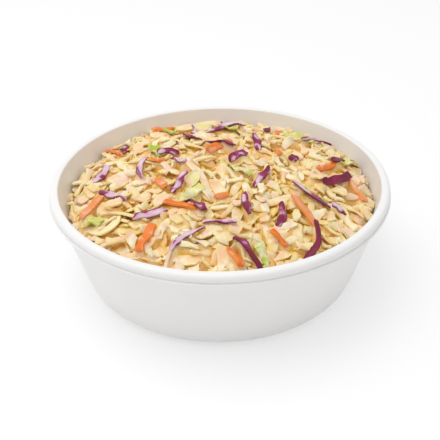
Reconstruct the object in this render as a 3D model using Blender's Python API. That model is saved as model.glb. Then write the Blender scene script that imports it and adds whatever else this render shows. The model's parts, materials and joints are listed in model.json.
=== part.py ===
"""A round white moulded bowl filled with a heap of coleslaw.

Units are metres and +Z is up. The origin is the centre of the foot, on the table.
Each node is one closed solid: the bowl, and the heap of salad that lies in it.
"""

import math

import bmesh
import bpy
from mathutils import Vector, noise

# Bowl: driving dimensions
RIM_RADIUS = 0.0751  # to the outside of the bead and of the lip, the widest places
BOWL_HEIGHT = 0.0461
WALL_FOOT_RADIUS = 0.0606  # where the line of the wall would meet the table
WALL_TOP_RADIUS = 0.0724  # just under the rim's ledge
WALL_BOW = 0.0003  # how far the wall swells outwards halfway up
WALL_THICKNESS = 0.00235  # measured level
CORNER_RADIUS = 0.0075  # outside, between the foot and the wall
INNER_CORNER_RADIUS = 0.0065

# Rim band: a rounded lip over an upright face with a fine bead along its lower edge
LIP_WIDTH = 0.0044
LIP_OUTER_ROUND = 0.0013
LIP_INNER_ROUND = 0.0007
BEAD_RADIUS = 0.0005
BEAD_HEIGHT = 0.0431  # of the bead's centre above the table
FACE_TAPER = 0.0004  # the face leans in by this much from the lip down to the bead
FACE_FOOT_HEIGHT = BEAD_HEIGHT + 1.2 * BEAD_RADIUS

# Foot: a flat ring round a shallow recess
FOOT_INNER_RADIUS = 0.0485
FOOT_RECESS = 0.0010
FLOOR_THICKNESS = 0.0020

# Heap of coleslaw
BOWL_GAP = 0.0003  # clearance between the salad and the bowl
HEAP_EDGE_HEIGHT = 0.0376  # where the heap meets the wall
HEAP_CROWN = 0.0125  # rise of the middle above the edge
HEAP_FULLNESS = 2.6  # 2 is a parabola, and more gives a flatter top with steeper flanks
LOW_SIDE_DROP = 0.0035  # the edge lies lower on the -X side
LUMP_SIZE = 0.011
LUMP_HEIGHT = 0.0016
EDGE_WOBBLE = 0.0009

# Fineness of the facets
TURNING_STEPS = 72
WALL_STEPS = 6
DOME_RINGS = 14


def clear_scene():
    for obj in list(bpy.data.objects):
        bpy.data.objects.remove(obj)


def arc(centre, radius, start, end, steps):
    """Points on a circle from start to end, in degrees from the outward level direction."""
    points = []
    for step in range(steps + 1):
        angle = math.radians(start + (end - start) * step / steps)
        points.append((centre[0] + radius * math.cos(angle), centre[1] + radius * math.sin(angle)))
    return points


# The wall's straight line, before its bow is added
WALL_TOP_HEIGHT = BEAD_HEIGHT - BEAD_RADIUS
WALL_LEAN = (WALL_TOP_RADIUS - WALL_FOOT_RADIUS) / WALL_TOP_HEIGHT
WALL_ANGLE = math.degrees(math.atan2(1.0, WALL_LEAN))


def wall_radius(height):
    """Outside radius of the wall at a height, with its slight outward bow."""
    share = height / WALL_TOP_HEIGHT
    bow = 4 * WALL_BOW * share * (1 - share) if share < 1 else 0.0
    return WALL_FOOT_RADIUS + WALL_LEAN * height + bow


def inside_radius(height):
    """Radius of the bowl's inner face at a height."""
    return WALL_FOOT_RADIUS + WALL_LEAN * height - WALL_THICKNESS


def corner_arc(floor_height, line_radius, radius):
    """The rounded corner between a level floor and the leaning wall, from the floor up."""
    tangent = radius / math.tan(math.radians(180 - WALL_ANGLE) / 2)
    centre = (line_radius - tangent, floor_height + radius)
    return arc(centre, radius, -90, WALL_ANGLE - 90, 6)


def bowl_profile():
    """Half section of the bowl: out under the foot, up the outside, over the lip and down inside."""
    outside = [(0.0, FOOT_RECESS), (FOOT_INNER_RADIUS - FOOT_RECESS, FOOT_RECESS), (FOOT_INNER_RADIUS, 0.0)]
    outside += corner_arc(0.0, WALL_FOOT_RADIUS, CORNER_RADIUS)
    corner_top = outside[-1][1]
    for step in range(1, WALL_STEPS + 1):
        height = corner_top + (WALL_TOP_HEIGHT - corner_top) * step / WALL_STEPS
        outside.append((wall_radius(height), height))

    rim = arc((RIM_RADIUS - BEAD_RADIUS, BEAD_HEIGHT), BEAD_RADIUS, -90, 60, 5)
    rim.append((RIM_RADIUS - FACE_TAPER, FACE_FOOT_HEIGHT))
    round_centre = (RIM_RADIUS - LIP_OUTER_ROUND, BOWL_HEIGHT - LIP_OUTER_ROUND)
    rim += arc(round_centre, LIP_OUTER_ROUND, 0, 90, 5)
    lip_inner_radius = RIM_RADIUS - LIP_WIDTH
    inner_centre = (lip_inner_radius + LIP_INNER_ROUND, BOWL_HEIGHT - LIP_INNER_ROUND)
    rim += arc(inner_centre, LIP_INNER_ROUND, 90, 180, 3)

    floor_height = FOOT_RECESS + FLOOR_THICKNESS
    inside = corner_arc(floor_height, inside_radius(floor_height), INNER_CORNER_RADIUS)
    inside.insert(0, (0.0, floor_height))
    return outside + rim + inside[::-1]


def heap_height(radius, edge_radius):
    """Height of the smooth heap at a distance from the middle."""
    return HEAP_EDGE_HEIGHT + HEAP_CROWN * (1 - (radius / edge_radius) ** HEAP_FULLNESS)


def heap_profile():
    """Half section of the heap: along the floor, up the wall, then over the smooth dome."""
    floor_height = FOOT_RECESS + FLOOR_THICKNESS + BOWL_GAP
    side = corner_arc(floor_height, inside_radius(floor_height) - BOWL_GAP, INNER_CORNER_RADIUS)
    corner_top = side[-1][1]
    for share in (0.35, 0.7):
        height = corner_top + (HEAP_EDGE_HEIGHT - corner_top) * share
        side.append((inside_radius(height) - BOWL_GAP, height))
    edge_radius = inside_radius(HEAP_EDGE_HEIGHT) - BOWL_GAP
    dome = []
    for ring in range(DOME_RINGS + 1):
        radius = edge_radius * (1 - ring / DOME_RINGS)
        dome.append((radius, heap_height(radius, edge_radius)))
    return [(0.0, floor_height)] + side + dome


def turned_mesh(name, profile):
    """Spins a half section about the Z axis into one closed mesh."""
    shape = bmesh.new()
    corners = [shape.verts.new((radius, 0.0, height)) for radius, height in profile]
    edges = [shape.edges.new(pair) for pair in zip(corners, corners[1:])]
    bmesh.ops.spin(
        shape,
        geom=corners + edges,
        cent=(0, 0, 0),
        axis=(0, 0, 1),
        angle=2 * math.pi,
        steps=TURNING_STEPS,
        use_duplicate=False,
    )
    bmesh.ops.remove_doubles(shape, verts=shape.verts, dist=1e-6)
    bmesh.ops.recalc_face_normals(shape, faces=shape.faces)
    mesh = bpy.data.meshes.new(name)
    shape.to_mesh(mesh)
    shape.free()
    return mesh


def plastic(name, colour, roughness):
    material = bpy.data.materials.new(name)
    material.use_nodes = True
    shader = material.node_tree.nodes["Principled BSDF"]
    shader.inputs["Base Color"].default_value = (*colour, 1.0)
    shader.inputs["Roughness"].default_value = roughness
    shader.inputs["Metallic"].default_value = 0.0
    return material


def add_object(name, mesh, material):
    obj = bpy.data.objects.new(name, mesh)
    bpy.context.scene.collection.objects.link(obj)
    mesh.materials.append(material)
    mesh.shade_smooth()
    mesh.set_sharp_from_angle(angle=math.radians(35))
    return obj


def roughen_heap(mesh):
    """Raises lumps on the heap's top, and lets its edge wander up and down the wall."""
    smooth_edge = inside_radius(HEAP_EDGE_HEIGHT) - BOWL_GAP
    ring_gap = smooth_edge / DOME_RINGS
    for vertex in mesh.vertices:
        radius = math.hypot(vertex.co.x, vertex.co.y)
        on_edge = abs(radius - smooth_edge) < 1e-5
        on_dome = vertex.co.z > HEAP_EDGE_HEIGHT + 1e-5
        if not (on_edge or on_dome):
            continue
        place = Vector((vertex.co.x, vertex.co.y, 0.0)) / LUMP_SIZE
        lump = noise.noise(place) + 0.5 * noise.noise(place * 2.1)
        towards_low_side = max(0.0, -vertex.co.x / smooth_edge)
        lean = LOW_SIDE_DROP * towards_low_side**3
        if on_edge:
            height = HEAP_EDGE_HEIGHT - lean + EDGE_WOBBLE * lump
            scale = (inside_radius(height) - BOWL_GAP) / radius
            vertex.co = (vertex.co.x * scale, vertex.co.y * scale, height)
        else:
            calm = min(1.0, (smooth_edge - radius) / (2 * ring_gap))
            vertex.co.z += LUMP_HEIGHT * lump * calm - lean


def build_bowl():
    white = plastic("white_moulded_plastic", (0.86, 0.86, 0.86), 0.35)
    return add_object("bowl", turned_mesh("bowl", bowl_profile()), white)


def build_coleslaw():
    cream = plastic("creamy_coleslaw", (0.86, 0.74, 0.48), 0.45)
    mesh = turned_mesh("coleslaw", heap_profile())
    roughen_heap(mesh)
    return add_object("coleslaw", mesh, cream)


clear_scene()
build_bowl()
build_coleslaw()
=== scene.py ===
# %% [markdown]
# # A bowl of creamy coleslaw
#
# The object is a round white moulded bowl, heaped with shredded white cabbage, red
# cabbage, carrot and a little green leaf, all stirred in a creamy dressing. The packed
# model holds two plain solids: the bowl, and the heap out to its uneven outline. This
# lesson gives the bowl its fine turned shape, and swaps the heap for real shreds that
# are laid one by one, each coming to rest on what lies under it.

import json
import math

import bpy
import numpy as np
from mathutils import Matrix, Vector
from mathutils.bvhtree import BVHTree

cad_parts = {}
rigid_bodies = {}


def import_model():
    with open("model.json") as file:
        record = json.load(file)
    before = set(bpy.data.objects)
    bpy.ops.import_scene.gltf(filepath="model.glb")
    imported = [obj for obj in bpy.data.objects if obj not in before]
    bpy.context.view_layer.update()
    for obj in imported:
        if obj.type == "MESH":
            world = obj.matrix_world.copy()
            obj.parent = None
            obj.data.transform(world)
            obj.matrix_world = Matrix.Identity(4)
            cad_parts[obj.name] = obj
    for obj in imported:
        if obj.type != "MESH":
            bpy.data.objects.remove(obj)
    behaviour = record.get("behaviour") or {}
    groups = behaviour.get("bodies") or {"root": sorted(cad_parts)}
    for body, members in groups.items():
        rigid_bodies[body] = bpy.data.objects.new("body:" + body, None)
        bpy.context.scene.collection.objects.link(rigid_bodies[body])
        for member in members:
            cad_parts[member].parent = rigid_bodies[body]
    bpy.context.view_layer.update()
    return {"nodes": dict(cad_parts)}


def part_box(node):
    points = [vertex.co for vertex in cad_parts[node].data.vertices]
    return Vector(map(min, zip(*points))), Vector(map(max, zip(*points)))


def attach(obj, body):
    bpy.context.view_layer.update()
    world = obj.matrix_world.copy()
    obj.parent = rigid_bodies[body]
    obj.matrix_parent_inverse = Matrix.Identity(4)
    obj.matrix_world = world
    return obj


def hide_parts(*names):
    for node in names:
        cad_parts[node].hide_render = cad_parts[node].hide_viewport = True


for leftover in list(bpy.data.objects):
    bpy.data.objects.remove(leftover)  # what Blender puts in a new file
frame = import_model()
MM = 0.001  # metres in a millimetre: lengths below are in millimetres unless said otherwise

# %% [markdown]
# ## Colours and nodes
#
# Food colours are picked as the screen shows them, so they are written as hex values and
# turned to the linear light that a shader works in. One small function adds any node with
# its settings and links, both for materials and for Geometry Nodes, and a few shorter
# ones call it for what is needed most: a sum, a change of range or a mix of colours.

# %% Helpers for colours and nodes
def linear(hex_colour):
    """A screen colour such as "#fcecd2" as linear red, green, blue and alpha."""
    shares = [int(hex_colour[place:place + 2], 16) / 255 for place in (1, 3, 5)]
    return [s / 12.92 if s <= 0.04045 else ((s + 0.055) / 1.055) ** 2.4 for s in shares] + [1.0]


def add_node(tree, kind, inputs=None, **settings):
    """Adds a node; inputs maps a socket's name or number to a value or to another socket."""
    node = tree.nodes.new(kind)
    for name, value in settings.items():
        setattr(node, name, value)
    for key, value in (inputs or {}).items():
        if isinstance(value, bpy.types.NodeSocket):
            tree.links.new(value, node.inputs[key])
        else:
            node.inputs[key].default_value = value
    return node


def calculate(tree, operation, *values):
    """Adds a node that works out one number, and gives its result."""
    return add_node(tree, "ShaderNodeMath", dict(enumerate(values)), operation=operation).outputs[0]


def remap(tree, value, start, end, low, high):
    """Takes a value from one range to another and stops it at both ends."""
    ranges = {"Value": value, "From Min": start, "From Max": end, "To Min": low, "To Max": high}
    return add_node(tree, "ShaderNodeMapRange", ranges).outputs[0]


def mix_colours(tree, share, first, second):
    """Mixes two colours: all of the first where the share is 0, all of the second where it is 1."""
    colours = {"Factor": share, 6: first, 7: second}
    return add_node(tree, "ShaderNodeMix", colours, data_type="RGBA").outputs[2]


def noise(tree, **inputs):
    """Soft random clouds from 0 to 1."""
    inputs = {label.capitalize(): value for label, value in inputs.items()}
    return add_node(tree, "ShaderNodeTexNoise", inputs).outputs["Fac"]


def point_value(tree, name):
    """A number that each point of a mesh carries under a name."""
    return add_node(tree, "ShaderNodeAttribute", attribute_name=name).outputs["Fac"]


def new_material(name):
    """An empty material, its tree and its shader."""
    material = bpy.data.materials.new(name)
    material.use_nodes = True
    tree = material.node_tree
    return material, tree, tree.nodes["Principled BSDF"]


# %% [markdown]
# ## White moulded plastic
#
# The bowl is polypropylene, pressed in a polished mould and slightly dulled by it: a
# clean white with a soft satin sheen, with nothing printed on it. Its gloss and its
# whiteness wander a little over a few centimetres, as moulded plastic's do, which keeps
# it from looking like a perfect computer surface.

# %% The bowl's material
def moulded_white_plastic():
    material, tree, shader = new_material("satin_white_polypropylene")
    place = add_node(tree, "ShaderNodeTexCoord").outputs["Object"]
    drift = noise(tree, vector=place, scale=35.0, detail=2.0)
    tree.links.new(remap(tree, drift, 0.0, 1.0, 0.36, 0.46), shader.inputs["Roughness"])
    tint = mix_colours(tree, drift, linear("#f1f0ef"), linear("#f4f3f2"))
    tree.links.new(tint, shader.inputs["Base Color"])
    shader.inputs["IOR"].default_value = 1.49
    return material


white_plastic = moulded_white_plastic()

# %% [markdown]
# ## The bowl's outline
#
# A moulded bowl is a turned shape, so all of it follows from half a section: a foot ring
# round a shallow recess, a rounded corner, a wall that leans outwards, a fine bead, and
# an upright band with a rounded lip. Arcs are worked out from their radii, in steps
# short enough that no facet shows on the lip.

# %% Half a section through the bowl
bowl_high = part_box("bowl")[1]
RIM_RADIUS = bowl_high.x / MM
BOWL_HEIGHT = bowl_high.z / MM
BEAD_RADIUS = 0.55
BEAD_HEIGHT = BOWL_HEIGHT - 4.1
WALL_FOOT_RADIUS = 60.6  # where the wall's line would meet the table
WALL_TOP_RADIUS = 72.15  # just under the bead
WALL_TOP_HEIGHT = BEAD_HEIGHT - BEAD_RADIUS
WALL_LEAN = (WALL_TOP_RADIUS - WALL_FOOT_RADIUS) / WALL_TOP_HEIGHT
WALL_ANGLE = math.degrees(math.atan2(1.0, WALL_LEAN))
WALL_THICKNESS = 2.35
WALL_BOW = 0.3
OUTER_CORNER, INNER_CORNER = 7.5, 6.5
FOOT_RADIUS, FOOT_RECESS = 48.5, 1.0
FLOOR_HEIGHT = 3.0
FACE_SETBACK, LIP_SETBACK = 0.9, 0.4
LIP_WIDTH, LIP_OUTER_ROUND, LIP_INNER_ROUND = 4.4, 2.0, 0.8


def arc(centre, radius, start, end, steps):
    """Points on a circle, with angles in degrees from the outward level direction."""
    angles = np.radians(np.linspace(start, end, steps + 1))
    return [(centre[0] + radius * math.cos(a), centre[1] + radius * math.sin(a)) for a in angles]


def inside_radius(height):
    """Radius of the bowl's inner face at a height."""
    return WALL_FOOT_RADIUS + WALL_LEAN * height - WALL_THICKNESS


def wall_height(radius):
    """Height at which the bowl's inner face has a radius."""
    return (radius + WALL_THICKNESS - WALL_FOOT_RADIUS) / WALL_LEAN


def corner(floor_height, line_radius, radius):
    """The rounded corner between a level floor and the leaning wall."""
    tangent = radius / math.tan(math.radians(180 - WALL_ANGLE) / 2)
    return arc((line_radius - tangent, floor_height + radius), radius, -90, WALL_ANGLE - 90, 12)


def bowl_section():
    """Out under the foot, up the outside, over the lip and down the inside."""
    outside = [(0.0, FOOT_RECESS), (FOOT_RADIUS - FOOT_RECESS, FOOT_RECESS), (FOOT_RADIUS, 0.0)]
    outside += corner(0.0, WALL_FOOT_RADIUS, OUTER_CORNER)
    corner_top = outside[-1][1]
    for share in np.linspace(0, 1, 11)[1:]:
        height = corner_top + (WALL_TOP_HEIGHT - corner_top) * share
        rise = height / WALL_TOP_HEIGHT
        outside.append((WALL_FOOT_RADIUS + WALL_LEAN * height + 4 * WALL_BOW * rise * (1 - rise), height))
    rim = arc((RIM_RADIUS - BEAD_RADIUS, BEAD_HEIGHT), BEAD_RADIUS, -90, 60, 8)
    rim.append((RIM_RADIUS - FACE_SETBACK, BEAD_HEIGHT + 1.1 * BEAD_RADIUS))
    outer = RIM_RADIUS - LIP_SETBACK - LIP_OUTER_ROUND
    rim += arc((outer, BOWL_HEIGHT - LIP_OUTER_ROUND), LIP_OUTER_ROUND, 0, 90, 12)
    inner = RIM_RADIUS - LIP_WIDTH + LIP_INNER_ROUND
    rim += arc((inner, BOWL_HEIGHT - LIP_INNER_ROUND), LIP_INNER_ROUND, 90, 180, 6)
    inside = [(0.0, FLOOR_HEIGHT)] + corner(FLOOR_HEIGHT, inside_radius(FLOOR_HEIGHT), INNER_CORNER)
    return outside + rim + inside[::-1]


section = bowl_section()
print("the bowl's half section has", len(section), "points")

# %% [markdown]
# ## Turning the section
#
# Geometry Nodes turn the section: a flat grid has one row for each point of the section
# and one column for each step round, and every grid point reads its place in the section
# and is swung round the Z axis. A Screw modifier would do too, but here the number of
# steps is a plain input, and closing the seam and the poles is one node.

# %% A Geometry Nodes tree that turns a section
def open_tree(name, inputs):
    """A Geometry Nodes tree with a geometry socket each way and the named inputs."""
    tree = bpy.data.node_groups.new(name, "GeometryNodeTree")
    tree.interface.new_socket("Geometry", in_out="INPUT", socket_type="NodeSocketGeometry")
    for label, kind in inputs:
        tree.interface.new_socket(label, in_out="INPUT", socket_type="NodeSocket" + kind)
    tree.interface.new_socket("Geometry", in_out="OUTPUT", socket_type="NodeSocketGeometry")
    return tree, tree.nodes.new("NodeGroupInput").outputs


def close_tree(tree, geometry, material):
    """Ends a tree: shade smooth, realize instances, set material."""
    smooth = add_node(tree, "GeometryNodeSetShadeSmooth", {"Geometry": geometry})
    real = add_node(tree, "GeometryNodeRealizeInstances", {"Geometry": smooth.outputs[0]})
    painted = add_node(tree, "GeometryNodeSetMaterial", {"Geometry": real.outputs[0], "Material": material})
    add_node(tree, "NodeGroupOutput", {"Geometry": painted.outputs[0]})


def run_tree(name, mesh, tree, values):
    """Runs a tree on a mesh and returns the result as a plain object."""
    guide = bpy.data.objects.new(name + "_guide", mesh)
    bpy.context.scene.collection.objects.link(guide)
    modifier = guide.modifiers.new("shape", "NODES")
    modifier.node_group = tree
    for item in tree.interface.items_tree:
        if item.in_out == "INPUT" and item.name in values:
            modifier[item.identifier] = values[item.name]
    evaluated = guide.evaluated_get(bpy.context.evaluated_depsgraph_get())
    result = bpy.data.meshes.new_from_object(evaluated)
    bpy.data.objects.remove(guide)
    piece = bpy.data.objects.new(name, result)
    bpy.context.scene.collection.objects.link(piece)
    return piece


def turning_tree():
    inputs = [("Steps", "Int"), ("Section Points", "Int"), ("Material", "Material")]
    tree, given = open_tree("turn_section", inputs)
    steps = given["Steps"]
    rows = given["Section Points"]
    columns = calculate(tree, "ADD", steps, 1.0)
    grid = add_node(tree, "GeometryNodeMeshGrid", {"Vertices X": columns, "Vertices Y": rows})
    index = add_node(tree, "GeometryNodeInputIndex").outputs[0]
    point = calculate(tree, "MODULO", index, rows)
    column = calculate(tree, "FLOOR", calculate(tree, "DIVIDE", index, rows))
    angle = calculate(tree, "MULTIPLY", calculate(tree, "DIVIDE", column, steps), 2 * math.pi)
    position = add_node(tree, "GeometryNodeInputPosition").outputs[0]
    read = add_node(tree, "GeometryNodeSampleIndex",
                    {"Geometry": given["Geometry"], "Value": position, "Index": point},
                    data_type="FLOAT_VECTOR", domain="POINT")
    swung = add_node(tree, "ShaderNodeVectorRotate", {"Vector": read.outputs[0], "Angle": angle},
                     rotation_type="Z_AXIS")
    placed = add_node(tree, "GeometryNodeSetPosition",
                      {"Geometry": grid.outputs["Mesh"], "Position": swung.outputs[0]})
    merged = add_node(tree, "GeometryNodeMergeByDistance", {"Geometry": placed.outputs[0], "Distance": 1e-6})
    close_tree(tree, merged.outputs[0], given["Material"])
    return tree


def edge_chain(name, points):
    """A mesh of edges through points given in metres."""
    mesh = bpy.data.meshes.new(name)
    mesh.from_pydata(points, [(i, i + 1) for i in range(len(points) - 1)], [])
    return mesh


def volume_of(mesh):
    """Signed volume: positive when the faces point outwards."""
    mesh.calc_loop_triangles()
    corners = np.array([[mesh.vertices[i].co for i in t.vertices] for t in mesh.loop_triangles])
    return float(np.einsum("ij,ij->i", corners[:, 0], np.cross(corners[:, 1], corners[:, 2])).sum() / 6)


TURNING_STEPS = 180
chain = edge_chain("bowl_section", [(radius * MM, 0.0, height * MM) for radius, height in section])
values = {"Steps": TURNING_STEPS, "Section Points": len(section), "Material": white_plastic}
bowl = run_tree("moulded_bowl", chain, turning_tree(), values)
if volume_of(bowl.data) < 0:
    bowl.data.flip_normals()
bowl.data.set_sharp_from_angle(angle=math.radians(40))
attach(bowl, "root")
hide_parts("bowl")
print("the bowl holds", round(volume_of(bowl.data) * 1e6, 1), "cubic cm of plastic")

# %% [markdown]
# ## The heap as a landscape
#
# So many shreds can't be modelled by hand, and a physics simulation of that many bent
# strips would be very slow. So the heap is treated as a landscape: a grid holds the
# height of its top, each shred settles on the heights under it, and its own top is then
# written back into the grid, so the next one lies on it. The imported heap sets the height
# that the salad is filled up to, give or take a few millimetres.

# %% The grid, and the height the heap reaches
CELL = 0.5
REACH = 72.0
COUNT = int(2 * REACH / CELL) + 1
WALL_GAP = 0.4
HEAP_RADIUS = 66.5  # just inside the wall, where the heap ends


def measure_mound():
    """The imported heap's top over the grid, in millimetres."""
    heap = frame["nodes"]["coleslaw"].data
    shape = BVHTree.FromPolygons([v.co for v in heap.vertices], [p.vertices for p in heap.polygons])
    coarse = np.linspace(-REACH, REACH, 73)
    heights = np.zeros((coarse.size, coarse.size))
    for row, y in enumerate(coarse):
        for column, x in enumerate(coarse):
            inward = min(1.0, HEAP_RADIUS / max(1e-6, math.hypot(x, y)))
            above = Vector((x * inward * MM, y * inward * MM, 0.2))
            heights[row, column] = shape.ray_cast(above, Vector((0, 0, -1)))[0].z / MM
    fine = np.linspace(-REACH, REACH, COUNT)
    across = np.array([np.interp(fine, coarse, line) for line in heights])
    return np.array([np.interp(fine, coarse, line) for line in across.T]).T


def read_grid(grid, x, y):
    """Values of a grid at places in millimetres, blended between its points."""
    column = np.clip((x + REACH) / CELL, 0, COUNT - 1.001)
    row = np.clip((y + REACH) / CELL, 0, COUNT - 1.001)
    c, r = column.astype(int), row.astype(int)
    fc, fr = column - c, row - r
    near = grid[r, c] * (1 - fc) + grid[r, c + 1] * fc
    far = grid[r + 1, c] * (1 - fc) + grid[r + 1, c + 1] * fc
    return near * (1 - fr) + far * fr


def blurred(grid, radius):
    """A grid smoothed over about a radius in millimetres."""
    steps = np.arange(-int(3 * radius / CELL), int(3 * radius / CELL) + 1)
    weights = np.exp(-0.5 * (steps * CELL / radius) ** 2)
    weights /= weights.sum()
    edge = len(steps) // 2
    wide = np.pad(grid, edge, mode="edge")
    wide = sum(w * wide[i:i + COUNT, :] for i, w in enumerate(weights))
    return sum(w * wide[:, i:i + COUNT] for i, w in enumerate(weights))


mound = measure_mound()
print("the heap reaches", round(float(mound.max()), 1), "mm above the table")

# %% [markdown]
# ## Letting a shred settle
#
# A shred of cabbage is neither a stiff stick nor a wet rag. Its resting line is blended
# from both: the line of a stick that lies on the two highest supports, and the line of a
# rag that follows every bump. It also leans to the side the way the ground under it
# does, sinks a little into the dressing, and is pressed back inside the bowl's wall.

# %% Settle one shred and stamp it into the landscape
BARE_DEPTH = 10.0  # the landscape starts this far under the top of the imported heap
height = mound - BARE_DEPTH
kept_clear = np.zeros_like(height)


def unit(vectors):
    return vectors / np.maximum(np.linalg.norm(vectors, axis=-1, keepdims=True), 1e-9)


def smooth_line(values, rounds):
    """Averages each value with its neighbours."""
    for _ in range(rounds):
        values = np.convolve(np.pad(values, 1, mode="edge"), (0.25, 0.5, 0.25), "valid")
    return values


def stick_line(run, support):
    """Height of a stiff stick that rests on the highest supports either side of its middle."""
    middle = run[-1] / 2
    near = run < middle
    slope = (support[~near][None, :] - support[near][:, None]) / (run[~near][None, :] - run[near][:, None])
    at_middle = support[near][:, None] + slope * (middle - run[near][:, None])
    best = np.unravel_index(np.argmax(at_middle), at_middle.shape)
    return at_middle[best] + np.clip(slope[best], -0.8, 0.8) * (run - middle)


def settle(path, half_width, half_thick, stiffness=0.5, sink=0.3, tilt=0.0, twist=0.0, arch=0.0,
           lift=(0.0, 0.0), skew=(0.0, 0.0)):
    """Lays a shred whose plan is path on the landscape; gives its centre line, sides and ups."""
    plan = path.copy()
    for _ in range(2):
        run = np.concatenate(([0.0], np.cumsum(np.linalg.norm(np.diff(plan, axis=0), axis=1))))
        ahead = unit(np.gradient(plan, axis=0))
        left = np.stack((-ahead[:, 1], ahead[:, 0]), axis=1)
        reach = left * half_width[:, None] * 0.8
        middle_ground = read_grid(height, plan[:, 0], plan[:, 1])
        left_ground = read_grid(height, plan[:, 0] + reach[:, 0], plan[:, 1] + reach[:, 1])
        right_ground = read_grid(height, plan[:, 0] - reach[:, 0], plan[:, 1] - reach[:, 1])
        support = np.maximum(middle_ground, 0.5 * (left_ground + right_ground))
        rag = smooth_line(support, 3)
        rag += max(0.0, float(np.percentile(support - rag, 75)))
        line = stiffness * stick_line(run, support) + (1 - stiffness) * rag
        share = run / run[-1]
        line = line + arch * 4 * share * (1 - share) + lift[0] * (1 - share) + lift[1] * share
        ground_lean = np.arctan2(left_ground - right_ground, 1.6 * half_width)
        lean = np.clip(smooth_line(ground_lean, 2) * 0.7, -0.8, 0.8) + tilt + twist * (share - 0.5)
        line = line + half_thick - sink + 0.45 * half_width * abs(math.sin(tilt))
        centre = np.column_stack((plan, line))
        forward = unit(np.gradient(centre, axis=0))
        side = np.column_stack((left * np.cos(lean)[:, None], np.sin(lean)))
        side = unit(side - forward * np.sum(side * forward, axis=1, keepdims=True))
        up = np.cross(forward, side)
        slant = (skew[0] * (1 - share) + skew[1] * share)[:, None]
        side = side * np.cos(slant) + forward * np.sin(slant)
        distance = np.hypot(plan[:, 0], plan[:, 1])
        outward = plan / np.maximum(distance, 1e-6)[:, None]
        spread = half_width * np.abs(np.sum(side[:, :2] * outward, axis=1))
        spread += half_thick * np.abs(np.sum(up[:, :2] * outward, axis=1))
        room = inside_radius(line) - WALL_GAP - spread
        plan *= np.minimum(1.0, room / np.maximum(distance, 1e-6))[:, None]
    centre[:, :2] = plan
    return centre, side, up


def stamp(centre, side, up, half_width, half_thick, clear=False):
    """Writes a shred's top into the landscape."""
    fine = np.linspace(0, len(centre) - 1, 4 * len(centre))
    steps = np.arange(len(centre))
    columns = np.column_stack((centre, side, up, half_width, half_thick))
    columns = np.column_stack([np.interp(fine, steps, column) for column in columns.T])
    for across in np.linspace(-1, 1, 9):
        point = columns[:, 0:3] + columns[:, 3:6] * across * columns[:, 9:10]
        point = point + columns[:, 6:9] * columns[:, 10:11] * math.sqrt(1 - 0.75 * across * across)
        column = np.clip(np.rint((point[:, 0] + REACH) / CELL).astype(int), 0, COUNT - 1)
        row = np.clip(np.rint((point[:, 1] + REACH) / CELL).astype(int), 0, COUNT - 1)
        np.maximum.at(height, (row, column), point[:, 2])
        if clear:
            kept_clear[row, column] = 1.0


# %% [markdown]
# ## Plans and outlines of shreds
#
# Seen from above a shred is a short curved stroke: some are nearly straight, some bend
# like a bow, and those from a leaf's rib curl into hooks and rings. Its width wanders,
# and its ends are either cut square by the knife or run out to a point. The points lie
# closer together near both ends, where the outline changes fastest.

# %% Draw a shred's plan and its outline
def spacing(points):
    """Places along a shred from 0 to 1, closer together at both ends."""
    even = np.linspace(0, 1, points)
    return even - 0.55 * np.sin(2 * np.pi * even) / (2 * np.pi)


def jitter(rng, points, size=0.22):
    """Small sideways steps, so that no edge runs quite true."""
    return np.column_stack([smooth_line(rng.normal(0, size, points), 1) for _ in range(2)])


def stroke(x, y, heading, length, turn, wave, rng, points):
    """A curved stroke round a middle point; turn is its whole change of heading."""
    share = spacing(points)
    phase = rng.uniform(0, 2 * np.pi)
    wiggle = np.sin(2 * np.pi * share * rng.uniform(0.8, 1.8) + phase)
    course = heading + turn * (share - 0.5) + wave * wiggle
    step = np.diff(share) * length
    middle_course = 0.5 * (course[1:] + course[:-1])
    path = np.zeros((points, 2))
    path[1:, 0] = np.cumsum(step * np.cos(middle_course))
    path[1:, 1] = np.cumsum(step * np.sin(middle_course))
    return path - path.mean(axis=0) + (x, y) + jitter(rng, points)


def outline(width, rng, points, pointed=0.0, ragged=0.12):
    """Half widths along a shred; pointed from 0, cut square, to 1, running out to a tip."""
    share = spacing(points)
    cut = np.minimum(1.0, 0.72 + 6 * np.minimum(share, 1 - share))
    tip = 0.25 + 0.75 * np.sin(np.pi * share) ** 0.6
    wander = 1 + ragged * smooth_line(rng.normal(0, 1.6, points), 1)
    return 0.5 * width * (cut * (1 - pointed) + tip * pointed) * np.clip(wander, 0.45, 1.6)


def thickness_line(thickness, points):
    """Half thicknesses along a shred, a little thinner at the cut ends."""
    share = spacing(points)
    return 0.5 * thickness * np.minimum(1.0, 0.6 + 8 * np.minimum(share, 1 - share))


# %% [markdown]
# ## Collecting shreds of one kind
#
# Each kind of shred becomes one mesh. Its guide is a set of edge chains, one chain for
# each shred, whose points carry what the sweep needs: which way the shred's side and top
# face, how wide and thick it is there, how far it is cupped like a leaf's rib, how much
# its edges ruffle, and a tone of its own that the material uses for its colour.

# %% Keep the settled shreds of each kind
FACTS = ("half_width", "half_thick", "cup", "ruffle", "tone", "along", "phase")
kinds = {}


def add_shred(kind, path, half_width, half_thick, rng, cup=0.0, ruffle=0.0, tone=None, clear=False, **how):
    """Settles a shred, stamps it and keeps it for its kind's mesh."""
    centre, side, up = settle(path, half_width, half_thick, **how)
    stamp(centre, side, up, half_width, half_thick, clear)
    tone = rng.uniform(0, 1) if tone is None else tone
    even = np.ones(len(path))
    facts = (half_width, half_thick, cup * even, ruffle * even, tone * even, spacing(len(path)),
             rng.uniform(0, 6.28) * even)
    kinds.setdefault(kind, []).append((centre, side, up, np.column_stack(facts)))


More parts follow.
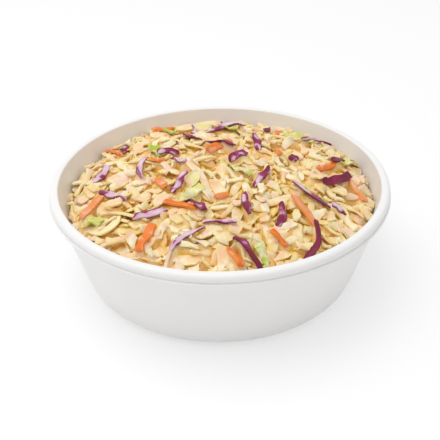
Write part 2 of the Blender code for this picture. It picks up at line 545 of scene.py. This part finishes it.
def low_place(rng, goal, tries, spread):
    """The place that lies furthest under the goal, of a few tried at random."""
    distance = np.sqrt(rng.uniform(0, 1, tries)) * HEAP_RADIUS
    angle = rng.uniform(0, 2 * np.pi, tries)
    x, y = distance * np.cos(angle), distance * np.sin(angle)
    level = np.zeros(tries)
    for dx, dy in ((0, 0), (spread, 0), (-spread, 0), (0, spread), (0, -spread)):
        level += read_grid(height, x + dx, y + dy) / 5
    short = read_grid(goal, x, y) - level
    best = int(np.argmax(short))
    return float(x[best]), float(y[best]), float(short[best])


# %% [markdown]
# ## What lies underneath
#
# Only the top few millimetres of the salad show, and through their gaps one sees shreds
# and dressing that melt into each other. So the lower layers are only stamped into the
# landscape, and its surface then becomes one closed core with their relief: the buried
# shreds need no mesh of their own.

# %% Stamp the lower layers and make the core
CORE_RINGS, CORE_SPOKES = 120, 360
SIDE_HEIGHTS = (24.0, 12.0, 4.0)  # rings down the core's side; the last edges its flat underside
FOOT_INSET = 6.0  # how far that last ring stands in from the wall
EDGE_READ = 63.0  # the core meets the wall at the smoothed level it has at this radius,
EDGE_DROP = 3.5  # less this drop,
EDGE_ROUNDS = 30  # after this many rounds of smoothing
UNDER_GOAL = mound - 6.6


def fill_underneath():
    rng = np.random.default_rng(11)
    laid = 0
    while laid < 900:
        x, y, short = low_place(rng, UNDER_GOAL, 14, 2.0)
        if short < 0:
            break
        length = rng.uniform(6, 17)
        path = stroke(x, y, rng.uniform(0, np.pi), length, rng.normal(0, 0.5), 0.15, rng, 9)
        half_width = outline(rng.uniform(2.4, 4.2), rng, 9)
        half_thick = thickness_line(rng.uniform(1.5, 2.4), 9)
        centre, side, up = settle(path, half_width, half_thick, stiffness=0.55, tilt=rng.normal(0, 0.3))
        stamp(centre, side, up, half_width, half_thick)
        laid += 1
    return laid


def build_core(surface):
    """A closed body whose top is a surface over the grid and whose sides follow the bowl's inside."""
    spokes = np.arange(CORE_SPOKES) * 2 * np.pi / CORE_SPOKES
    level = read_grid(surface, EDGE_READ * np.cos(spokes), EDGE_READ * np.sin(spokes)) - EDGE_DROP
    for _ in range(EDGE_ROUNDS):
        level = 0.5 * level + 0.25 * (np.roll(level, 1) + np.roll(level, -1))
    edge = inside_radius(level) - WALL_GAP
    points = [np.array([[0.0, 0.0, float(read_grid(surface, np.zeros(1), np.zeros(1))[0])]])]
    for ring in range(1, CORE_RINGS + 1):
        radius = edge * ring / CORE_RINGS
        x, y = radius * np.cos(spokes), radius * np.sin(spokes)
        top = np.maximum(read_grid(surface, x, y), wall_height(radius + WALL_GAP))
        points.append(np.column_stack((x, y, top)))
    for depth in SIDE_HEIGHTS:
        inset = FOOT_INSET if depth == SIDE_HEIGHTS[-1] else 0.0
        radius = np.full(CORE_SPOKES, inside_radius(depth) - WALL_GAP - inset)
        x, y = radius * np.cos(spokes), radius * np.sin(spokes)
        points.append(np.column_stack((x, y, np.full(CORE_SPOKES, depth))))
    points.append(np.array([[0.0, 0.0, SIDE_HEIGHTS[-1]]]))
    faces = [(0, 1 + s, 1 + (s + 1) % CORE_SPOKES) for s in range(CORE_SPOKES)]
    rings = CORE_RINGS + len(SIDE_HEIGHTS)
    for ring in range(rings - 1):
        start = 1 + ring * CORE_SPOKES
        for s in range(CORE_SPOKES):
            after = (s + 1) % CORE_SPOKES
            faces.append((start + s, start + CORE_SPOKES + s, start + CORE_SPOKES + after, start + after))
    last = 1 + (rings - 1) * CORE_SPOKES
    faces += [(last + s, last + CORE_SPOKES, last + (s + 1) % CORE_SPOKES) for s in range(CORE_SPOKES)]
    mesh = bpy.data.meshes.new("dressed_core")
    mesh.from_pydata(np.vstack(points) * MM, [], faces)
    mesh.shade_smooth()
    core = bpy.data.objects.new("dressed_core", mesh)
    bpy.context.scene.collection.objects.link(core)
    return core


print("stamped", fill_underneath(), "shreds into the lower layers")
lower_layers = blurred(height, 0.4)

# %% [markdown]
# ## The top layers, low places first
#
# Now the shreds that show. Each goes where the salad lies furthest below its goal, of a
# few places tried, so the heap fills evenly with no bald spots, and a stiffness of about
# a half leaves little bridges and dark pockets. Two in five are strips of white cabbage
# and nearly as many are chips of it; the rest are curls from the rib, and now and then a
# bit of carrot, red cabbage or green leaf.

# %% Fill up to the goal
VISIBLE_GOAL = mound - 4.0


def cabbage_chip(x, y, rng, length, width, tilt):
    """Adds one chip of white cabbage with slanted, frayed ends."""
    path = stroke(x, y, rng.uniform(0, 2 * np.pi), length, rng.normal(0, 0.6), 0.3, rng, 7)
    add_shred("white_cabbage_chips", path, outline(width, rng, 7, rng.uniform(0, 0.6), 0.4),
              thickness_line(rng.uniform(0.9, 1.5), 7), rng, cup=rng.normal(0, 0.3),
              ruffle=rng.uniform(0.1, 0.5), stiffness=0.5, tilt=tilt, twist=rng.normal(0, 0.5),
              sink=0.25, skew=rng.normal(0, 0.4, 2))


def scatter_one(x, y, rng):
    """Adds one shred of a kind picked at random at a place."""
    heading = rng.uniform(0, np.pi)
    pick = rng.uniform(0, 1)
    tilt = float(np.clip(rng.normal(0, 0.38), -1.0, 1.0))
    twist = rng.normal(0, 0.5)
    if pick < 0.40:
        length, width = rng.uniform(8, 19), rng.uniform(3.0, 5.2)
        path = stroke(x, y, heading, length, rng.normal(0, 0.5), 0.18, rng, 10)
        add_shred("white_cabbage_strips", path, outline(width, rng, 10, rng.choice((0.0, 0.0, 0.5)), 0.2),
                  thickness_line(rng.uniform(0.9, 1.5), 10), rng, cup=rng.normal(0, 0.22),
                  stiffness=rng.uniform(0.4, 0.8), tilt=tilt, twist=twist, arch=rng.uniform(-0.2, 0.8),
                  skew=rng.normal(0, 0.25, 2))
    elif pick < 0.77:
        cabbage_chip(x, y, rng, rng.uniform(4.5, 10.0), rng.uniform(3.0, 5.6), 1.1 * tilt)
    elif pick < 0.89:
        length, width = rng.uniform(11, 20), rng.uniform(2.4, 3.8)
        path = stroke(x, y, heading, length, rng.choice((-1, 1)) * rng.uniform(1.6, 4.6), 0.2, rng, 14)
        add_shred("white_cabbage_curls", path, outline(width, rng, 14, 0.3, 0.15),
                  thickness_line(rng.uniform(1.0, 1.5), 14), rng, cup=rng.normal(0, 0.2),
                  stiffness=0.6, tilt=rng.choice((-1, 1)) * rng.uniform(0.1, 0.9), twist=twist,
                  arch=rng.uniform(0, 0.6))
    elif pick < 0.93:
        length, width = rng.uniform(3, 9), rng.uniform(1.8, 2.8)
        path = stroke(x, y, heading, length, rng.normal(0, 0.3), 0.1, rng, 8)
        add_shred("carrot_shreds", path, outline(width, rng, 8, 0.2),
                  thickness_line(rng.uniform(1.3, 2.0), 8), rng,
                  tone=rng.uniform(0.4, 1.0), stiffness=0.8, tilt=tilt)
    elif pick < 0.975:
        length, width = rng.uniform(2.5, 7), rng.uniform(1.4, 3.0)
        path = stroke(x, y, heading, length, rng.normal(0, 0.7), 0.2, rng, 8)
        add_shred("red_cabbage_shreds", path, outline(width, rng, 8, 0.5, 0.25),
                  thickness_line(rng.uniform(0.8, 1.3), 8), rng, cup=rng.normal(0, 0.3), tilt=1.4 * tilt,
                  tone=rng.uniform(0.3, 1.0), skew=rng.normal(0, 0.4, 2))
    else:
        length, width = rng.uniform(3, 7), rng.uniform(2.4, 4.5)
        path = stroke(x, y, heading, length, rng.normal(0, 0.6), 0.3, rng, 9)
        add_shred("green_leaf_bits", path, outline(width, rng, 9, 0.5, 0.3), thickness_line(0.8, 9), rng,
                  cup=rng.normal(0, 0.3), ruffle=rng.uniform(0.3, 0.9), tone=rng.uniform(0.5, 1), tilt=tilt)


def fill_visible(seed, goal, most):
    """Adds shreds in the lowest places until the heap is up to its goal."""
    rng = np.random.default_rng(seed)
    for laid in range(most):
        x, y, short = low_place(rng, goal, 12, 1.5)
        if short < 0:
            return laid
        scatter_one(x, y, rng)
    return most


PIT_DEPTH, HOLE_DEPTH = 0.45, 3.6
PIT_CEILING = 1.5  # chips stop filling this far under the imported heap's top
PIT_REACH, WALL_DEPTH = 66, 1.0  # past this radius the salad counts as this far under it
from_middle = np.hypot(*np.meshgrid(*2 * [np.linspace(-REACH, REACH, COUNT)]))


def fill_pits(seed, rounds, tries):
    """Drops small chips into pits, lower than the salad round them, and into the broad holes."""
    rng = np.random.default_rng(seed)
    laid = 0
    for _ in range(rounds):
        level = blurred(np.where(from_middle < PIT_REACH, height, mound - WALL_DEPTH), 3.0)
        around = np.maximum(np.minimum(level - PIT_DEPTH, mound - PIT_CEILING), mound - HOLE_DEPTH)
        for _ in range(tries):
            x, y, short = low_place(rng, around, 10, 0.7)
            if short > 0 and read_grid(kept_clear, np.array([x]), np.array([y]))[0] < 0.3:
                cabbage_chip(x, y, rng, rng.uniform(4.0, 8.5), rng.uniform(2.6, 4.8), rng.normal(0, 0.25))
                laid += 1
    return laid


print("laid", fill_visible(23, VISIBLE_GOAL, 1500), "shreds up to the goal")
print("and", fill_pits(29, 5, 140), "chips in the pits")

# %% [markdown]
# ## The pieces that catch the eye
#
# On top lie the pieces one notices: broad pale strips with square ends, rings from the
# rib, purple ribbons of red cabbage, orange sticks of carrot and lime scraps of leaf.
# Each kind has a count and ranges of lengths, widths and tones. Its spots keep away from
# each other, so that no kind bunches up, and each piece settles like all the others.

# %% Lay the pieces one notices
SPOT_REACH, SPOT_TRIES = 61.0, 14
RING_COUNT = 8


def spread_spots(count, rng):
    """Spots on the heap, each the furthest from those taken, of a few tried at random."""
    spots = []
    for _ in range(count):
        distance = np.sqrt(rng.uniform(0, 1, SPOT_TRIES)) * SPOT_REACH
        angle = rng.uniform(0, 2 * np.pi, SPOT_TRIES)
        tried = np.column_stack((distance * np.cos(angle), distance * np.sin(angle)))
        gaps = [min([math.dist(spot, other) for other in spots], default=0.0) for spot in tried]
        spots.append(tried[int(np.argmax(gaps))])
    return spots


def lay_noticed(kind, count, lengths, widths, tones, rng, points, thickness, pointed, ragged, cup,
                bend=0.35, ruffle=0.0):
    """Lays a number of noticeable pieces of one kind, spread over the heap."""
    for x, y in spread_spots(count, rng):
        path = stroke(x, y, rng.uniform(0, np.pi), rng.uniform(*lengths), rng.normal(0, bend), 0.12,
                      rng, points)
        add_shred(kind, path, outline(rng.uniform(*widths), rng, points, rng.uniform(*pointed), ragged),
                  thickness_line(rng.uniform(*thickness), points), rng, cup=rng.normal(0, cup),
                  ruffle=ruffle * rng.uniform(0.6, 1.2), tone=rng.uniform(*tones), clear=True,
                  stiffness=0.55, sink=0.45, tilt=rng.uniform(0.0, 0.5), arch=0.15,
                  lift=rng.uniform(0.1, 0.9, 2), skew=rng.normal(0, 0.2, 2))


noticed = np.random.default_rng(37)
for x, y in spread_spots(RING_COUNT, noticed):
    ring = stroke(x, y, noticed.uniform(0, 6.28), noticed.uniform(14, 23), noticed.uniform(3.8, 5.6),
                  0.12, noticed, 22)
    add_shred("white_cabbage_curls", ring, outline(noticed.uniform(2.6, 3.8), noticed, 22, 0.2, 0.1),
              thickness_line(1.3, 22), noticed, cup=0.15, clear=True, stiffness=0.55, sink=0.0,
              tilt=noticed.uniform(0.2, 0.5), arch=0.6)
lay_noticed("white_cabbage_strips", 42, (7, 25), (2.8, 5.2), (0.0, 0.8), noticed, 13,
            (1.0, 1.5), (0.0, 0.35), 0.13, 0.2, ruffle=0.3)
print("laid", fill_pits(41, 5, 150), "chips round the noticed pieces")
lay_noticed("green_leaf_bits", 10, (5, 17), (3.4, 6.0), (0.0, 0.9), noticed, 16,
            (0.7, 1.0), (0.2, 0.6), 0.26, 0.25, ruffle=1.0)
lay_noticed("carrot_shreds", 18, (5, 19), (2.6, 4.4), (0.0, 0.8), noticed, 12,
            (1.4, 1.9), (0.0, 0.3), 0.1, 0.0, bend=0.2)
lay_noticed("red_cabbage_shreds", 31, (6, 24), (2.4, 4.4), (0.05, 0.9), noticed, 16,
            (0.8, 1.1), (0.3, 0.9), 0.18, 0.2, bend=0.5)
print("laid", fill_pits(43, 1, 110), "last chips")
CHECK_RADIUS = 55.0  # how the top lies is measured this far out
above = (height - mound)[from_middle < CHECK_RADIUS]
print("the top lies", round(float(above.mean()), 1), "mm from the packed heap's, from",
      round(float(np.percentile(above, 5)), 1), "to", round(float(np.percentile(above, 95)), 1))
print({kind: len(shreds) for kind, shreds in kinds.items()})

# %% [markdown]
# ## The core, and the dressing that fills the pockets
#
# The dressing runs into the pockets and glues the shreds together. A smoothed copy of the
# finished landscape, sunk by a millimetre or two, is just such a filling: it stays out of
# sight under each shred and comes up between them, with soft swells and small curds in
# it. Where it lies deeper than the stamped lower layers, those show instead, so some
# pockets are creamy and others are open.

# %% Make the core
def drift_of(seed, size):
    """Soft random hills over the grid, from -1 to 1, about a size in millimetres across."""
    rough = np.random.default_rng(seed).normal(0, 1, (COUNT, COUNT))
    hills = blurred(rough, size)
    return np.clip(hills / (2 * hills.std()), -1, 1)


FILM_DEPTH, FILM_WANDER, CURDS = 1.6, 0.8, 0.9
film = blurred(height, 0.8) - FILM_DEPTH + FILM_WANDER * drift_of(5, 3.0) + CURDS * drift_of(7, 1.3)
core = build_core(np.maximum(lower_layers, film))
print("the core has", len(core.data.polygons), "faces")

# %% [markdown]
# ## Sweeping the shreds
#
# One Geometry Nodes tree turns the guide chains into solid shreds. It sweeps a rounded
# rectangle along each chain, and then places every point itself from what the chain
# carries: sideways by the half width, upwards by the half thickness, with the cupping
# and the ruffle of the edges on top. Last come the soft lumps that the dressing makes.

# %% The sweeping tree
VECTORS = ("centre", "side", "up")


def sweeping_tree():
    inputs = [("Corners", "Int"), ("Lump Height", "Float"), ("Lump Size", "Float"), ("Ruffles", "Float"),
              ("Material", "Material")]
    tree, given = open_tree("sweep_shreds", inputs)

    def scaled(vector, amount):
        return add_node(tree, "ShaderNodeVectorMath", {0: vector, "Scale": amount},
                        operation="SCALE").outputs[0]

    def added(first, second):
        return add_node(tree, "ShaderNodeVectorMath", {0: first, 1: second}, operation="ADD").outputs[0]

    position = add_node(tree, "GeometryNodeInputPosition").outputs[0]
    marked = add_node(tree, "GeometryNodeStoreNamedAttribute",
                      {"Geometry": given["Geometry"], "Name": "centre", "Value": position},
                      data_type="FLOAT_VECTOR", domain="POINT")
    rails = add_node(tree, "GeometryNodeMeshToCurve", {"Mesh": marked.outputs[0]})

    circle = add_node(tree, "GeometryNodeCurvePrimitiveCircle",
                      {"Resolution": given["Corners"], "Radius": 1.0})
    half_step = calculate(tree, "DIVIDE", math.pi, given["Corners"])
    turned = add_node(tree, "ShaderNodeVectorRotate", {"Vector": position, "Angle": half_step},
                      rotation_type="Z_AXIS")
    parts = add_node(tree, "ShaderNodeSeparateXYZ", {0: turned.outputs[0]})
    profile = circle.outputs[0]
    for axis, name in enumerate(("across", "upward")):
        part = parts.outputs[axis]
        fuller = calculate(tree, "POWER", calculate(tree, "ABSOLUTE", part), 0.5)
        squared = calculate(tree, "MULTIPLY", fuller, calculate(tree, "SIGN", part))
        profile = add_node(tree, "GeometryNodeStoreNamedAttribute",
                           {"Geometry": profile, "Name": name, "Value": squared},
                           data_type="FLOAT", domain="POINT").outputs[0]
    swept = add_node(tree, "GeometryNodeCurveToMesh",
                     {"Curve": rails.outputs[0], "Profile Curve": profile, "Fill Caps": True})

    fact = {}
    for name in VECTORS + FACTS + ("across", "upward"):
        kind = "FLOAT_VECTOR" if name in VECTORS else "FLOAT"
        fact[name] = add_node(tree, "GeometryNodeInputNamedAttribute", {"Name": name},
                              data_type=kind).outputs[0]
    sideways = calculate(tree, "MULTIPLY", fact["across"], fact["half_width"])
    thick = calculate(tree, "MULTIPLY", fact["upward"], fact["half_thick"])
    bowed = calculate(tree, "MULTIPLY", fact["cup"], calculate(tree, "POWER", fact["across"], 2.0))
    cupped = calculate(tree, "MULTIPLY", bowed, fact["half_width"])
    wave = calculate(tree, "MULTIPLY_ADD", fact["along"], given["Ruffles"], fact["phase"])
    frill = calculate(tree, "MULTIPLY", calculate(tree, "SINE", wave), fact["ruffle"])
    frilled = calculate(tree, "MULTIPLY", frill, fact["across"])
    risen = calculate(tree, "ADD", calculate(tree, "ADD", thick, cupped), frilled)
    offset = added(scaled(fact["side"], sideways), scaled(fact["up"], risen))
    placed = add_node(tree, "GeometryNodeSetPosition",
                      {"Geometry": swept.outputs[0], "Position": added(fact["centre"], offset)})

    fineness = calculate(tree, "DIVIDE", 1.0, given["Lump Size"])
    lumps = noise(tree, vector=position, scale=fineness, detail=2.0, roughness=0.6)
    swell = calculate(tree, "MULTIPLY", calculate(tree, "SUBTRACT", lumps, 0.5), given["Lump Height"])
    normal = add_node(tree, "GeometryNodeInputNormal").outputs[0]
    lumpy = add_node(tree, "GeometryNodeSetPosition",
                     {"Geometry": placed.outputs[0], "Offset": scaled(normal, swell)})
    close_tree(tree, lumpy.outputs[0], given["Material"])
    return tree


def guide_mesh(kind):
    """All chains of one kind as a mesh of edges that carries the facts of each point."""
    shreds = kinds[kind]
    sizes = [len(shred[0]) for shred in shreds]
    centre, side, up, facts = (np.vstack([shred[part] for shred in shreds]) for part in range(4))
    starts = np.cumsum([0] + sizes[:-1])
    edges = [(start + i, start + i + 1) for start, size in zip(starts, sizes) for i in range(size - 1)]
    mesh = bpy.data.meshes.new(kind + "_guide")
    mesh.from_pydata(centre * MM, edges, [])
    for name, vectors in (("side", side), ("up", up)):
        mesh.attributes.new(name, "FLOAT_VECTOR", "POINT").data.foreach_set("vector", vectors.ravel())
    for column, name in enumerate(FACTS):
        scale = MM if name in ("half_width", "half_thick", "ruffle") else 1.0
        mesh.attributes.new(name, "FLOAT", "POINT").data.foreach_set("value", facts[:, column] * scale)
    return mesh


# %% [markdown]
# ## Colours of a dressed salad
#
# Everything in the bowl is wet with the same dressing, so every finish is built alike:
# the vegetable's own colour, a pale veil of dressing over part of it, and painted light
# and shade in the pockets between shreds: a warmer tint that stands in for light bounced
# from cream to cream, gold over white cabbage, and a painted brown shade in the deepest
# pockets. The sides of white cabbage shreds get a paler painted yellow in place of the
# light that reaches them. The gloss is soft and uneven, and the surface has almost no bump.

# %% Finishes for the vegetables
surface_after = blurred(height, 2.0)
CREAM = "#fbefcf"
# Painted light and shade: gold stands in for light bounced in the pockets, brown for the shade in the
# deepest ones.
PAINTED_POCKET_GOLD = "#fccc48"
PAINTED_DEEP_SHADE = "#b4701c"
PEACH = "#fcc8a2"
PINK = "#f5ccbc"
# Painted light: a paler yellow on the sides of white cabbage shreds, where they would otherwise read as
# shaded.
PAINTED_SIDE_LIGHT = "#fdeaa6"
CABBAGE = ("#fcf0d0", "#f9e8b4", "#f8dca0", "#efe79a")


def dressed(name, tones, veil, veil_share, painted_pocket_tint, gloss=(0.34, 0.58), patch=2.6, stained=False,
            streaks=False, rim=None, rim_share=0.75, stops=None, swing=0.6, pocket_shade_share=1.0):
    """A vegetable of several tones under a veil of dressing, with painted bounce light and shade in the
    pockets.
    """
    material, tree, shader = new_material(name)
    place = add_node(tree, "ShaderNodeTexCoord").outputs["Object"]
    depth = point_value(tree, "depth")
    clouds = noise(tree, vector=place, scale=1 / (patch * MM), detail=3.0)
    if streaks:
        own_start = point_value(tree, "phase")
        run = calculate(tree, "MULTIPLY_ADD", point_value(tree, "along"), 1.6, own_start)
        edgeward = calculate(tree, "MULTIPLY", point_value(tree, "across"), 0.35)
        fibre = add_node(tree, "ShaderNodeCombineXYZ", {0: run, 1: edgeward, 2: own_start})
        clouds = noise(tree, vector=fibre.outputs[0], scale=1.5, detail=1.0)
    wander = calculate(tree, "MULTIPLY_ADD", clouds, swing, point_value(tree, "tone"))
    own = add_node(tree, "ShaderNodeValToRGB", {"Fac": calculate(tree, "SUBTRACT", wander, swing / 2)})
    ramp = own.color_ramp
    while len(ramp.elements) < len(tones):
        ramp.elements.new(0.5)
    for step, (element, tone) in enumerate(zip(ramp.elements, tones)):
        element.position = stops[step] if stops else step / (len(tones) - 1)
        element.color = linear(tone)
    smear = noise(tree, vector=place, scale=1 / (1.7 * patch * MM), detail=2.0, distortion=0.6)
    cover = remap(tree, smear, 0.62 - 0.3 * veil_share, 0.78 - 0.3 * veil_share, 0.0, 0.9)
    colour = mix_colours(tree, cover, own.outputs["Color"], linear(veil))
    if stained:
        pools = noise(tree, vector=place, scale=1 / (9 * MM), detail=2.0)
        for stain, start, end in ((PEACH, 0.5, 0.6), (PINK, 0.47, 0.38)):
            colour = mix_colours(tree, remap(tree, pools, start, end, 0.0, 0.75), colour, linear(stain))
    # Edge colour: on white cabbage it is painted light on the sides, on red cabbage the dark skin, on carrot
    # a lighter orange edge.
    if rim:
        edge = calculate(tree, "ABSOLUTE", point_value(tree, "across"))
        colour = mix_colours(tree, remap(tree, edge, 0.6, 0.96, 0.0, rim_share), colour, linear(rim))
    # Painted shade and bounce light: the deeper a point lies under the open surface, the more it takes the
    # pocket tint, then the deep brown shade.
    for tint, start, end, most in ((painted_pocket_tint, 0.15, 1.6, 0.95), (PAINTED_DEEP_SHADE, 1.2, 3.0, 0.8)):
        deep = remap(tree, depth, start, end, 0.0, most * pocket_shade_share)
        colour = mix_colours(tree, deep, colour, linear(tint))
    tree.links.new(colour, shader.inputs["Base Color"])
    sheen = remap(tree, smear, 0.3, 0.7, gloss[1], gloss[0])
    tree.links.new(sheen, shader.inputs["Roughness"])
    bump = add_node(tree, "ShaderNodeBump", {"Strength": 0.25, "Distance": 0.15 * MM, "Height": clouds})
    tree.links.new(bump.outputs[0], shader.inputs["Normal"])
    shader.inputs["IOR"].default_value = 1.4
    shader.inputs["Subsurface Weight"].default_value = 0.2
    shader.inputs["Subsurface Radius"].default_value = (1.0, 0.85, 0.35)
    shader.inputs["Subsurface Scale"].default_value = 3 * MM
    return material


finishes = {
    "white_cabbage_strips": dressed("dressed_white_cabbage", CABBAGE, CREAM, 0.5, PAINTED_POCKET_GOLD,
                                    stained=True, rim=PAINTED_SIDE_LIGHT),
    "white_cabbage_chips": dressed("dressed_cabbage_chips", CABBAGE, CREAM, 0.4, PAINTED_POCKET_GOLD,
                                   stained=True, rim=PAINTED_SIDE_LIGHT),
    "white_cabbage_curls": dressed("dressed_cabbage_rib", CABBAGE[:3], CREAM, 0.4, PAINTED_POCKET_GOLD, rim=PAINTED_SIDE_LIGHT),
    "carrot_shreds": dressed("dressed_carrot", ("#ea6c18", "#f07e2e", "#ec935a", "#eaae86"), "#f4c4a2", 0.25,
                             "#e08428", streaks=True, swing=1.1, rim="#fda040", rim_share=0.5),
    "red_cabbage_shreds": dressed("dressed_red_cabbage",
                                  ("#701432", "#8c1c46", "#a04078", "#d8acc2", "#e8ccd6"), "#ead8d8",
                                  -0.6, "#8c2c44", gloss=(0.45, 0.62), streaks=True, swing=2.4,
                                  stops=(0.0, 0.3, 0.5, 0.6, 1.0), rim="#701640", rim_share=0.85),
    "green_leaf_bits": dressed("dressed_green_leaf", ("#a8bc2c", "#c4d048", "#dcda7c", "#f0e6a8"),
                               "#f4ecc0", 0.5, "#bca838"),
    "dressed_core": dressed("dressing_and_shreds_below", ("#fae6b8", "#f6d898"), CREAM, 0.3, PAINTED_POCKET_GOLD,
                            stained=True, pocket_shade_share=0.7),
}


def mark_depth(piece):
    """Notes how far each point lies below the open surface of the salad, in millimetres."""
    mesh = piece.data
    points = np.zeros(len(mesh.vertices) * 3)
    mesh.vertices.foreach_get("co", points)
    points = points.reshape(-1, 3) / MM
    # This depth drives the painted pocket light and shade in the finishes.
    depth = read_grid(surface_after, points[:, 0], points[:, 1]) - points[:, 2]
    mesh.attributes.new("depth", "FLOAT", "POINT").data.foreach_set("value", np.maximum(depth, 0.0))


# %% Make each kind's mesh
LUMPS = {"carrot_shreds": 0.2, "red_cabbage_shreds": 0.15}
CUT_EDGE = math.radians(40)
tree = sweeping_tree()
core.data.materials.append(finishes["dressed_core"])
core_tone = core.data.attributes.new("tone", "FLOAT", "POINT")
core_tone.data.foreach_set("value", np.full(len(core.data.vertices), 0.5))
salad = [core]
for kind in kinds:
    values = {"Corners": 8, "Lump Height": LUMPS.get(kind, 0.3) * MM, "Lump Size": 2.0 * MM,
              "Ruffles": 11.0, "Material": finishes[kind]}
    piece = run_tree(kind, guide_mesh(kind), tree, values)
    piece.data.set_sharp_from_angle(angle=CUT_EDGE)
    for name in VECTORS + ("half_width", "half_thick", "cup", "ruffle", "upward"):
        piece.data.attributes.remove(piece.data.attributes[name])
    salad.append(piece)
for piece in salad:
    mark_depth(piece)
    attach(piece, "root")
    triangles = sum(len(face.vertices) - 2 for face in piece.data.polygons)
    print(piece.name, triangles, "triangles, volume", round(volume_of(piece.data) * 1e6, 1), "cubic cm")
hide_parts("coleslaw")

# %% [markdown]
# ## Floor, light and camera
#
# The bowl stands on a white sweep in plain soft light: a white sky that is strongest
# overhead, and one large white softbox high on the left. That leaves the lip brightest
# and the wall below it in gentle shade. Paper and sky look whiter to the camera, and in
# reflections, than the light they give, so the background is white while the bowl stays
# a shade below it.

# %% The stage
FLOOR_SIZE = 6.0
floor_mesh = bpy.data.meshes.new("floor")
half = FLOOR_SIZE / 2
corners = [(-half, -half, 0), (half, -half, 0), (half, half, 0), (-half, half, 0)]
floor_mesh.from_pydata(corners, [], [(0, 1, 2, 3)])
floor = bpy.data.objects.new("floor", floor_mesh)
bpy.context.scene.collection.objects.link(floor)
paper, paper_tree, paper_shader = new_material("white_paper_sweep")
paper_shader.inputs["Base Color"].default_value = linear("#fefefe")
paper_shader.inputs["Roughness"].default_value = 0.9
PAPER_GLOW = 0.52  # share of plain white that the eye sees over the lit paper, which keeps its shadow


def seen_by_eye(tree):
    """1 for rays from the camera, for reflections and for what shows through glass, else 0."""
    rays = add_node(tree, "ShaderNodeLightPath").outputs
    mirrored = calculate(tree, "MAXIMUM", rays["Is Camera Ray"], rays["Is Glossy Ray"])
    return calculate(tree, "MAXIMUM", mirrored, rays["Is Transmission Ray"])


seen = calculate(paper_tree, "MULTIPLY", seen_by_eye(paper_tree), PAPER_GLOW)
glow = add_node(paper_tree, "ShaderNodeEmission", {"Color": (1, 1, 1, 1), "Strength": 1.0})
blend = add_node(paper_tree, "ShaderNodeMixShader",
                 {0: seen, 1: paper_shader.outputs[0], 2: glow.outputs[0]})
paper_tree.links.new(blend.outputs[0], paper_tree.nodes["Material Output"].inputs["Surface"])
floor_mesh.materials.append(paper)

world = bpy.data.worlds.new("white_sky")
bpy.context.scene.world = world
world.use_nodes = True
sky = world.node_tree.nodes["Background"]
sky.inputs["Color"].default_value = (1, 1, 1, 1)
SKY_LOW, SKY_HIGH = 0.5, 0.75  # strength at the horizon and overhead, where the eye sees plain white
ray = add_node(world.node_tree, "ShaderNodeTexCoord").outputs["Generated"]
upward = add_node(world.node_tree, "ShaderNodeSeparateXYZ", {0: ray}).outputs["Z"]
light = remap(world.node_tree, upward, 0.0, 1.0, SKY_LOW, SKY_HIGH)
level = remap(world.node_tree, seen_by_eye(world.node_tree), 0.0, 1.0, light, 1.0)
world.node_tree.links.new(level, sky.inputs["Strength"])


def softbox(name, spot, aim, size, power):
    """A square white area lamp that looks at a point."""
    lamp = bpy.data.lights.new(name, "AREA")
    lamp.energy = power
    lamp.size = size
    stand = bpy.data.objects.new(name, lamp)
    stand.location = spot
    stand.rotation_euler = (Vector(aim) - Vector(spot)).to_track_quat("-Z", "Y").to_euler()
    bpy.context.scene.collection.objects.link(stand)
    return stand


softbox("overhead_softbox", (-0.26, 0.02, 0.88), (0, 0, 0.03), 0.8, 4.0)

camera = bpy.data.cameras.new("camera")
camera.sensor_width = 36.0
camera.lens = 65.45
camera.clip_start = 0.01
eye = bpy.data.objects.new("camera", camera)
bpy.context.scene.collection.objects.link(eye)
ELEVATION, DISTANCE, ROLL = math.radians(32.75), 0.367, -0.0122
AIM = Vector((0.0, 0.0, 0.0228))
back = Vector((0, -math.cos(ELEVATION), math.sin(ELEVATION)))
turn = (-back).to_track_quat("-Z", "Y").to_matrix().to_4x4()
eye.matrix_world = Matrix.Translation(AIM + back * DISTANCE) @ turn @ Matrix.Rotation(ROLL, 4, "Z")
bpy.context.scene.camera = eye
bpy.context.scene.view_settings.view_transform = "Standard"
